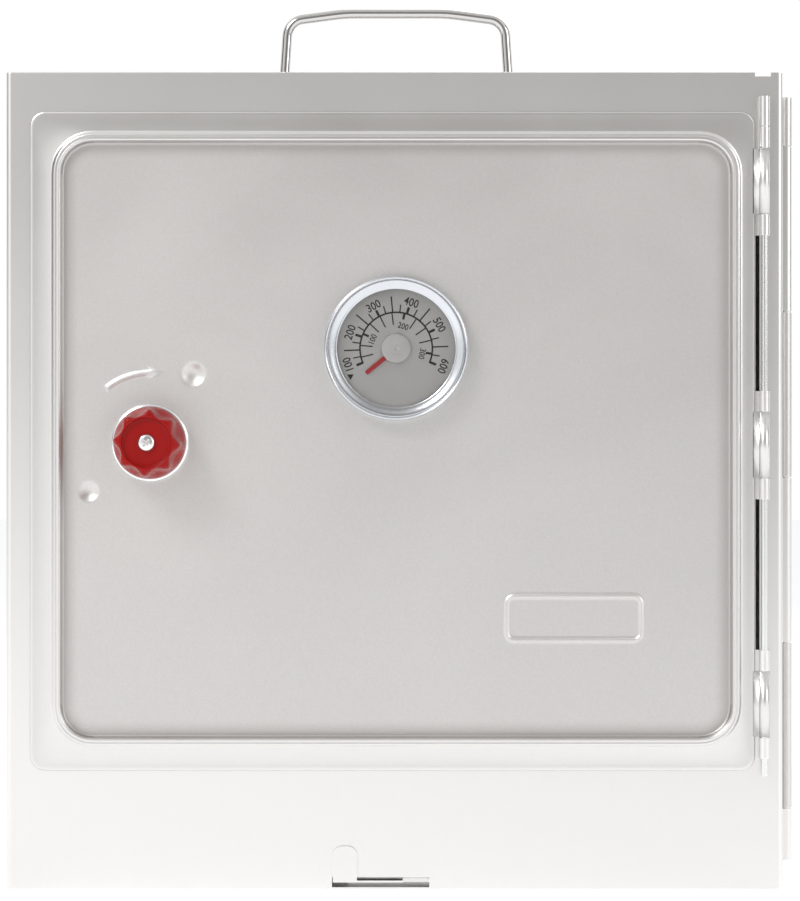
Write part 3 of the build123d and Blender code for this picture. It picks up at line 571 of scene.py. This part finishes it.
# %% [markdown]
# ## The door
# The door is one thin sheet, pressed in a die. From its edge inward it has a flat border, a double bead that
# stiffens it, and then a sunken tray with the knob, the thermometer, two dimples that stop the latch arm, a
# curved arrow, and a plain raised frame low on the right. A pressing is a stack of contour lines, so each
# contour is an inset cut into one flat face and then lifted to its height. The flat tray floor is filled last,
# round everything that is pressed into it or cut out of it.

# %% The double bead
door_low, door_high, door_corner = Vector((-143.0, 46.5)), Vector((141.5, 305.0)), 6.0
bead_low, bead_high, bead_corner = Vector((-135.0, 55.2)), Vector((136.6, 297.6)), 16.5
tray_depth, door_gauge = -8.35, 0.6


def rounded_face(bm, low, high, radius, segments=8):
    """One flat face with the outline of a rounded rectangle."""
    before = set(bm.faces)
    made = bmesh.ops.create_grid(bm, x_segments=1, y_segments=1, size=0.5)["verts"]
    size, middle = high - low, (high + low) / 2
    place = Matrix.Translation((*middle, 0)) @ Matrix.Diagonal((*size, 1, 1))
    bmesh.ops.transform(bm, matrix=place, verts=made)
    bmesh.ops.bevel(
        bm, geom=made, offset=radius, offset_type="OFFSET", segments=segments, profile=0.5,
        affect="VERTICES", material=-1,
    )
    return next(f for f in bm.faces if f not in before)


def step_in(bm, face, profile):
    """Cuts contour after contour into a face. Each step is how far in from the first outline, and its height."""
    done = 0.0
    for vert in face.verts:
        vert.co.z = profile[0][1]
    for inset, height in profile[1:]:
        bmesh.ops.inset_region(
            bm, faces=[face], thickness=inset - done, depth=0, use_even_offset=True, use_boundary=True
        )
        done = inset
        for vert in face.verts:
            vert.co.z = height
    return face


def outer_edges(face):
    """The open edges round a face and all that is joined to it."""
    patch, grown = {face}, 0
    while len(patch) > grown:
        grown = len(patch)
        patch |= {other for part in patch for edge in part.edges for other in edge.link_faces}
    return [edge for part in patch for edge in part.edges if len(edge.link_faces) == 1]


door = bmesh.new()
panel = rounded_face(door, door_low, door_high, door_corner)
edge_profile = ((0, 1.35), (0.2, 1.68), (0.6, 1.8), (1.5, 1.8), (2.0, 1.8))
step_in(door, panel, edge_profile)
narrowed = edge_profile[-1][0]
for vert in panel.verts:
    corner = Vector((1 if vert.co.x > 0 else -1, 1 if vert.co.y > (door_low.y + door_high.y) / 2 else -1))
    old_low, old_high = door_low + Vector((door_corner,) * 2), door_high - Vector((door_corner,) * 2)
    new_low, new_high = bead_low + Vector((bead_corner,) * 2), bead_high - Vector((bead_corner,) * 2)
    old_centre = Vector((old_high.x if corner.x > 0 else old_low.x, old_high.y if corner.y > 0 else old_low.y))
    new_centre = Vector((new_high.x if corner.x > 0 else new_low.x, new_high.y if corner.y > 0 else new_low.y))
    swung = (vert.co.xy - old_centre) / (door_corner - narrowed) * bead_corner
    vert.co.xy = new_centre + swung
bead_profile = (
    (0, 1.8), (0.5, 1.95), (1.0, 2.5), (1.45, 2.95), (1.9, 3.1), (2.3, 3.0), (2.8, 3.0), (3.2, 3.18),
    (3.6, 3.15), (4.0, 2.6), (4.25, 1.4), (4.5, 0.5), (4.9, 0.12), (5.6, 0), (7.0, 0),
)
step_in(door, panel, bead_profile)
tray_edges = list(panel.edges)
bmesh.ops.delete(door, geom=[panel], context="FACES_ONLY")
print("bead", len(bead_profile), "contours,", len(tray_edges), "tray edges")

# %% Dimples, and openings for the thermometer and the latch shaft


def round_face(bm, centre, radius, segments=48):
    """One flat round face."""
    before = set(bm.faces)
    made = bmesh.ops.create_circle(bm, cap_ends=True, segments=segments, radius=radius)["verts"]
    bmesh.ops.translate(bm, verts=made, vec=(*centre, 0))
    return next(f for f in bm.faces if f not in before)


dimple_radius = 5.9
dimple_profile = (
    (0, 0), (0.9, 0), (1.3, -0.1), (2.1, -0.45), (3.1, -0.95), (4.2, -1.25), (5.2, -1.4),
)
for spot, scale in (((-79.0, 202.0), 1.0), ((-120.0, 156.0), 0.84)):
    cup = round_face(door, spot, dimple_radius * scale, 24)
    step_in(door, cup, [(inset * scale, height * scale) for inset, height in dimple_profile])
    tray_edges += outer_edges(cup)
for centre, radius in ((thermometer_centre, 23.9), (knob_centre, 3.2)):
    opening = round_face(door, centre, radius + 1.2)
    step_in(door, opening, ((0, 0), (1.2, 0)))
    tray_edges += outer_edges(opening)
    bmesh.ops.delete(door, geom=[opening], context="FACES_ONLY")
print("dimples and openings,", len(tray_edges), "tray edges")

# %% The arrow
arrow_radius, arrow_half, arrow_rise = 27.5, 1.9, 0.6
arrow_tail, arrow_neck = 131, 92
away = [Vector((cos(radians(turn)), sin(radians(turn)), 0)) for turn in (arrow_tail, arrow_neck)]
tail = [door.verts.new(away[0] * (arrow_radius + step)) for step in (-arrow_half, arrow_half)]
bmesh.ops.translate(door, verts=tail, vec=(*knob_centre, 0))
shaft = bmesh.ops.spin(
    door, geom=tail + [door.edges.new(tail)], cent=(*knob_centre, 0), axis=(0, 0, 1),
    angle=radians(arrow_neck - arrow_tail), steps=10,
)["geom_last"]
neck = sorted((v for v in shaft if isinstance(v, bmesh.types.BMVert)), key=lambda v: v.co.y)
forward = Vector((away[1].y, -away[1].x, 0))
middle = Vector((*knob_centre, 0)) + away[1] * arrow_radius
head_offsets = (away[1] * -4.6 - forward * 1.5, forward * 9.0, away[1] * 4.6 - forward * 1.5)
head = [door.verts.new(middle + offset) for offset in head_offsets]
door.faces.new((neck[0], head[0], head[1], head[2], neck[1]))
arrow_faces = {face for vert in tail for face in vert.link_faces}
grown = 0
while len(arrow_faces) > grown:
    grown = len(arrow_faces)
    arrow_faces |= {face for part in arrow_faces for edge in part.edges for face in edge.link_faces}
bmesh.ops.recalc_face_normals(door, faces=list(arrow_faces))
for margin in (0.8, 0.7):
    bmesh.ops.inset_region(
        door, faces=list(arrow_faces), thickness=margin, depth=0, use_even_offset=True, use_boundary=True
    )
for vert in {v for face in arrow_faces for v in face.verts}:
    vert.co.z = arrow_rise
tray_edges += outer_edges(next(iter(arrow_faces)))
print("arrow", len(arrow_faces), "faces")

# %% The plain raised frame
badge = rounded_face(door, Vector((42.4, 95.9)), Vector((98.6, 116.6)), 4.6, 5)
step_in(
    door, badge,
    ((0, 0), (0.6, 0), (1.0, 0.12), (1.3, 0.52), (1.7, 0.58), (2.1, 0.52), (2.4, 0.12), (2.8, 0), (3.5, 0)),
)
tray_edges += outer_edges(badge)
print("raised frame", [round(v) for v in (badge.calc_center_median().x, badge.calc_center_median().y)])

# %% The tray floor
bmesh.ops.triangle_fill(door, edges=tray_edges, use_beauty=True, use_dissolve=False, normal=(0, 0, 1))
door_sheet = keep_piece(
    "door_pressing", door, to_face(depth=tray_depth), "door_sheet", "door", ("door_panel",),
    crease=60, open_sheet=True,
)
sheet_gauge(door_sheet, door_gauge)
door_sheet.data.materials.append(finishes["door_border"])
tray_inset = 4.4
tray_low, tray_high = bead_low + Vector((tray_inset,) * 2), bead_high - Vector((tray_inset,) * 2)
tray_corner = bead_corner - tray_inset
# Painted shade: the tray floor's colour is darkened along the foot of the bead.
paint_shade_along_edge(
    finishes["door_sheet"], tray_low, tray_high, tray_corner, band=7.0, tone=(0.30, 0.285, 0.27), strength=0.55
)
tray_middle, tray_half = (tray_low + tray_high) / 2, (tray_high - tray_low) / 2
for polygon in door_sheet.data.polygons:
    across, up = polygon.center.x / MM - tray_middle.x, polygon.center.z / MM - tray_middle.y
    past_x = max(abs(across) - tray_half.x + tray_corner, 0)
    past_z = max(abs(up) - tray_half.y + tray_corner, 0)
    if hypot(past_x, past_z) > tray_corner:
        polygon.material_index = 1
print("border faces", sum(polygon.material_index for polygon in door_sheet.data.polygons))

# %% [markdown]
# The door's right edge is curled round the hinge wire in three places, and the frame has its own clips
# between them. A curl is a strip of the same sheet wrapped three quarters of a turn, so it is one edge spun
# round the wire's axis.

# %% Curls round the hinge wire
curls = bmesh.new()
wire_axis = (145.0, -11.65)
curl_length, curl_middles = 25.6, (72.7, 174.2, 277.7)
for middle_z in curl_middles:
    ends = [middle_z - curl_length / 2, middle_z + curl_length / 2]
    flat = [curls.verts.new((140.6, -9.85, z)) for z in ends]
    bent = [curls.verts.new((wire_axis[0], -9.85, z)) for z in ends]
    curls.faces.new((flat[0], bent[0], bent[1], flat[1]))
    lip = [curls.edges.get(bent)]
    bmesh.ops.spin(
        curls, geom=bent + lip, cent=(*wire_axis, 0), axis=(0, 0, 1), angle=radians(-300), steps=24
    )
curl_piece = keep_piece(
    "door_curls", curls, Matrix.Scale(MM, 4), "door_border", "door", ("door_panel",)
)
curl_wall = sheet_gauge(curl_piece, door_gauge).modifiers["gauge"]
curl_wall.offset = 0

# %% [markdown]
# ## The thermometer
# A bimetal coil behind the door turns a red pointer over a grey dial. The bezel is rolled from bright
# aluminium: a round bead at the rim, a thin dark groove inside it, and then a face that slopes back to the
# glass. All of that is one profile spun on a lathe. The numbers are real scale numbers, set along the arc.

# %% Bezel
bezel = bmesh.new()
bezel_profile = (
    (28.35, 0), (28.35, 5.6), (28.25, 6.6), (27.95, 7.25), (27.6, 7.45), (27.25, 7.3), (27.02, 6.85),
    (26.9, 6.55), (26.72, 6.6), (26.2, 6.55), (25.3, 6.2), (24.4, 5.8), (23.75, 5.66), (23.35, 5.64),
    (23.2, 5.5), (23.2, 4.4), (24.3, 4.3), (24.3, 0), (28.35, 0),
)
lathe(bezel, bezel_profile, 128)
keep_piece(
    "bezel", bezel, to_face(thermometer_centre, tray_depth), "turned_aluminium", "door", ("thermometer_bezel",),
    crease=50,
)

# %% Dial face
dial_depth = -9.65
dial = bmesh.new()
lathe(dial, ((0.0, 0), (1.5, 0), (12, 0), (23.9, 0), (23.9, -0.4), (0.0, -0.4)), 96)
keep_piece("dial_face", dial, to_face(thermometer_centre, dial_depth), "dial_paint", "door", ("thermometer_dial",))

# %% Where a temperature sits on the dial
print_lift = 0.12


def dial_angle(fahrenheit):
    """The angle of a reading, in degrees anticlockwise from three o'clock."""
    hundreds = (fahrenheit - 100) / 100
    return 203 - 41 * hundreds - 0.8 * hundreds**2


def dial_place(angle, radius, turn=0.0):
    """A spot on the dial and the turn of what stands there, in degrees."""
    around = radians(angle)
    spot = Matrix.Translation((radius * cos(around), radius * sin(around), print_lift))
    return spot @ Matrix.Rotation(radians(angle + turn), 4, "Z")


print("100, 350 and 600 stand at", [round(dial_angle(v), 1) for v in (100, 350, 600)])

# %% Scale lines
dial_print = bmesh.new()
scale_radius = 14.2


def scale_line(angle, start, end, width):
    """One printed line along a radius."""
    made = bmesh.ops.create_grid(dial_print, x_segments=1, y_segments=1, size=0.5)["verts"]
    size = Matrix.Diagonal((end - start, width, 1, 1))
    bmesh.ops.transform(dial_print, matrix=dial_place(angle, (start + end) / 2) @ size, verts=made)


for fahrenheit in range(100, 601, 25):
    if fahrenheit % 100 == 0:
        scale_line(dial_angle(fahrenheit), scale_radius, 16.9, 1.0)
    elif fahrenheit % 50 == 0:
        scale_line(dial_angle(fahrenheit), scale_radius, 20.5, 0.55)
    else:
        scale_line(dial_angle(fahrenheit), scale_radius, 17.3, 0.5)
for celsius in range(50, 301, 25):
    angle = dial_angle(celsius * 1.8 + 32)
    if celsius % 100 == 0:
        scale_line(angle, 11.7, scale_radius, 0.9)
    else:
        scale_line(angle, 9.3, scale_radius, 0.5)
start_angle, end_angle = dial_angle(100) + 1.6, dial_angle(600) - 1.6
arc_ends = [dial_print.verts.new((radius, 0, print_lift)) for radius in (scale_radius - 0.33, scale_radius + 0.33)]
bmesh.ops.rotate(dial_print, verts=arc_ends, cent=(0, 0, 0), matrix=Matrix.Rotation(radians(start_angle), 3, "Z"))
bmesh.ops.spin(
    dial_print, geom=arc_ends + [dial_print.edges.new(arc_ends)], cent=(0, 0, 0), axis=(0, 0, 1),
    angle=radians(end_angle - start_angle), steps=90,
)
print("scale lines", len(dial_print.faces), "faces")

# %% Scale numbers


def scale_number(text, cap, angle, radius):
    """A printed number, upright towards the rim, made a mesh before it takes its place."""
    letters = bpy.data.curves.new("number", "FONT")
    letters.body = text
    letters.resolution_u = 3
    letters.offset = 0.012
    holder = bpy.data.objects.new("number", letters)
    shape = bpy.data.meshes.new_from_object(holder)
    before = set(dial_print.verts)
    dial_print.from_mesh(shape)
    made = [vert for vert in dial_print.verts if vert not in before]
    low = Vector((min(v.co.x for v in made), min(v.co.y for v in made), 0))
    high = Vector((max(v.co.x for v in made), max(v.co.y for v in made), 0))
    size = cap / (high.y - low.y)
    centred = Matrix.Diagonal((size * 0.86, size, 1, 1)) @ Matrix.Translation(-(low + high) / 2)
    bmesh.ops.transform(dial_print, matrix=dial_place(angle, radius, -90) @ centred, verts=made)
    bpy.data.objects.remove(holder)
    bpy.data.curves.remove(letters)
    bpy.data.meshes.remove(shape)


for text, angle, radius in (
    ("100", 197.8, 19.9), ("200", 160.6, 19.2), ("300", 118.0, 18.9), ("400", 71.8, 19.1), ("500", 28.7, 19.4),
    ("600", -20.6, 19.8),
):
    scale_number(text, 3.3, angle, radius)
for text, angle, radius in (("100", 157.8, 9.9), ("200", 72.5, 9.2), ("300", -11.7, 10.4)):
    scale_number(text, 2.4, angle, radius)
low_mark = bmesh.ops.create_circle(dial_print, cap_ends=True, segments=3, radius=1.5)["verts"]
bmesh.ops.transform(dial_print, matrix=dial_place(211.3, 21.0, -150), verts=low_mark)
keep_piece(
    "dial_print", dial_print, to_face(thermometer_centre, dial_depth), "dark_print", "door",
    open_sheet=True,
)

# %% Pointer
pointer_angle, pointer_reach = 219.6, 15.3
pointer = bmesh.new()
blade = bmesh.ops.create_cube(pointer, size=1)["verts"]
bmesh.ops.transform(
    pointer, matrix=Matrix.Translation((pointer_reach / 2, 0, 0)) @ Matrix.Diagonal((pointer_reach, 1.9, 0.34, 1)),
    verts=blade,
)
for vert in blade:
    vert.co.y *= 0.86 if vert.co.x > 1 else 1.0
tip_edges = [
    edge for edge in pointer.edges
    if all(vert.co.x > 1 for vert in edge.verts) and abs((edge.verts[0].co - edge.verts[1].co).z) > 0.1
]
bmesh.ops.bevel(
    pointer, geom=tip_edges, offset=0.5, offset_type="OFFSET", segments=3, profile=0.5, affect="EDGES", material=-1
)
bmesh.ops.rotate(
    pointer, verts=pointer.verts, cent=(0, 0, 0), matrix=Matrix.Rotation(radians(pointer_angle), 3, "Z")
)
keep_piece("red_pointer", pointer, to_face(thermometer_centre, -10.95), "pointer_red", "pointer", ("pointer",))

# %% Pointer hub
hub, hub_depth = bmesh.new(), -11.15
hub_profile = (
    (0, 0.28), (0.35, 0.3), (0.75, 0.62), (1.0, 0.72), (1.45, 0.8), (1.75, 0.66), (2.0, 0.64), (2.3, 0.76),
    (2.7, 0.8), (5.1, 0.8), (5.5, 0.72), (5.7, 0.5), (5.7, 0), (0, 0),
)
lathe(hub, hub_profile, 64)
keep_piece(
    "hub", hub, to_face(thermometer_centre, hub_depth), "hub_metal", "pointer", ("pointer_hub",),
)

# %% [markdown]
# ## The knob
# The knob is moulded in glossy red plastic: a round skirt at the back, eight finger hollows round the front, a
# rim that waves with them, and a shallow dish with the screw in it. It starts as a lathe profile with close
# rings, and the hollows are pushed in ring by ring. The lobes between them keep a small rounding. A subdivision
# surface then smooths the hollows, and the dish rim stays crisp because its rings lie close together.

# %% Knob body
knob = bmesh.new()
knob_profile = (
    (0, 21.0), (1.6, 21.0), (5.0, 21.0), (8.6, 21.0), (9.3, 21.05), (9.5, 21.3), (9.62, 22.4), (9.75, 22.75),
    (10.2, 22.92), (11.2, 23.0), (12.2, 22.8), (13.0, 22.2), (13.6, 21.2), (13.9, 19.8), (14.0, 17.8),
    (14.05, 15.4), (14.1, 12.6), (14.15, 9.6), (14.2, 6.6), (14.2, 3.4), (14.25, 1.0), (14.3, 0.3), (14.0, 0),
    (8.0, 0), (3.2, 0), (3.2, 0.6), (0, 0.6),
)
lathe(knob, knob_profile, 96)
hollows, first_hollow, deepest, lobe_rounding = 8, 18.0, 2.9, 0.06
hollow_start, hollow_run, dish_rim = 3.5, 9.0, 10.4
for vert in knob.verts:
    radius = vert.co.xy.length
    if radius < dish_rim + 0.1 or vert.co.z < hollow_start:
        continue
    angle = vert.co.xy.angle_signed(Vector((1, 0)))
    wave = cos(hollows / 2 * (angle - radians(first_hollow)))
    swing = sqrt((wave**2 + lobe_rounding) / (1 + lobe_rounding))
    along = min(1.0, (vert.co.z - hollow_start) / hollow_run)
    push = deepest * swing * along * along * (3 - 2 * along) * min(1.0, (radius - dish_rim) / 3.0)
    vert.co.xy *= (radius - push) / radius
    if vert.co.z > 20:
        vert.co.z -= 0.7 * swing * min(1.0, (radius - dish_rim) / 1.6)
knob_piece = keep_piece(
    "grip_knob", knob, to_face(knob_centre, -11.45), "knob_red", "latch", ("knob",), crease=80
)
smoother = knob_piece.modifiers.new("smooth", "SUBSURF")
smoother.levels = smoother.render_levels = 1

# %% Ring under the knob
ring = bmesh.new()
ring_profile = (
    (15.3, 0), (15.3, 1.2), (15.15, 1.9), (14.7, 2.35), (14.1, 2.5), (11.0, 2.5), (10.6, 2.2), (3.3, 2.2),
    (3.3, 0), (15.3, 0),
)
lathe(ring, ring_profile, 96)
keep_piece(
    "knob_base_ring", ring, to_face(knob_centre, tray_depth), "turned_ring", "door", ("knob_ring",),
    crease=50,
)

# %% Screw
screw = bmesh.new()
lathe(screw, ((0, 0), (3.4, 0), (3.4, 0.7), (3.2, 1.2), (2.7, 1.6), (2.2, 1.78)), 32)
head_edges = [edge for edge in screw.edges if len(edge.link_faces) == 1]
arm, half = 1.75, 0.38
corners = (
    (arm, -half), (arm, half), (half, half), (half, arm), (-half, arm), (-half, half),
    (-arm, half), (-arm, -half), (-half, -half), (-half, -arm), (half, -arm), (half, -half),
)
cross = [screw.verts.new((x, y, 1.8)) for x, y in corners]
cross_edges = [screw.edges.new((cross[i - 1], cross[i])) for i in range(len(cross))]
bmesh.ops.triangle_fill(screw, edges=head_edges + cross_edges, use_beauty=True, normal=(0, 0, 1))
sunk = bmesh.ops.extrude_edge_only(screw, edges=cross_edges)["geom"]
lowered = [item for item in sunk if isinstance(item, bmesh.types.BMVert)]
bmesh.ops.translate(screw, verts=lowered, vec=(0, 0, -1.1))
bmesh.ops.scale(screw, verts=lowered, vec=(0.72, 0.72, 1))
slot_floor = [
    item for item in sunk if isinstance(item, bmesh.types.BMEdge) and all(v in lowered for v in item.verts)
]
bmesh.ops.edgeloop_fill(screw, edges=slot_floor)
bmesh.ops.rotate(screw, verts=screw.verts, cent=(0, 0, 0), matrix=Matrix.Rotation(radians(52), 3, "Z"))
keep_piece("cross_screw", screw, to_face(knob_centre, -32.45), "zinc_hardware", "latch", ("knob_screw",))
